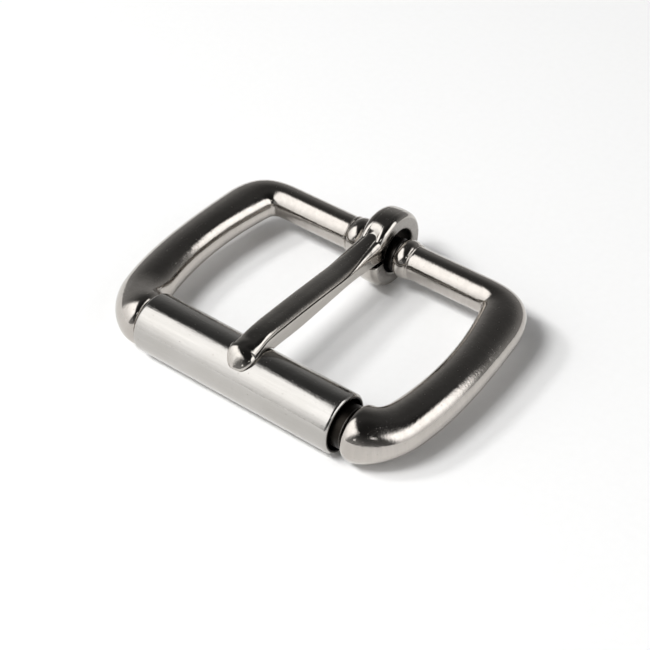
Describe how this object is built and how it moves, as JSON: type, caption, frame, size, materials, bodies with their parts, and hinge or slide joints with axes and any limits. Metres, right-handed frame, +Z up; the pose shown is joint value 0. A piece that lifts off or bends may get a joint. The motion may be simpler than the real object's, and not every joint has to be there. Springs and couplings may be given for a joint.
{
  "type": "roller buckle",
  "caption": "Heel bar roller buckle: a bowed cast frame with a swinging tongue on its rear bar and a loose roller on its front bar.",
  "frame": {"origin": "bottom centre of the bounding box, midway across the strap, with the tongue lying on the roller and z = 0 at the lowest point of the tongue's eye ring", "axes": "+X along the bars, +Y from the roller (front) to the belt bar (rear), +Z up, away from the wearer"},
  "size_m": [0.0538, 0.042, 0.0121],
  "materials": {
    "frame_plate": "polished nickel plate over a casting",
    "tongue_plate": "polished nickel plate over a casting",
    "roller_plate": "polished nickel plate over rolled tube"
  },
  "bodies": {
    "frame": {"frame": "frame_plate"},
    "tongue": {"tongue": "tongue_plate"},
    "roller": {"roller": "roller_plate"}
  },
  "joints": [
    {"name": "tongue_hinge", "type": "hinge", "parent": "frame", "child": "tongue", "pos_m": [0, 0.01455, 0.0059], "axis": [-1, 0, 0], "range_deg": [0, 180]},
    {"name": "roller_spin", "type": "hinge", "parent": "frame", "child": "roller", "pos_m": [0, -0.01665, 0.0059], "axis": [1, 0, 0], "continuous": true}
  ]
}
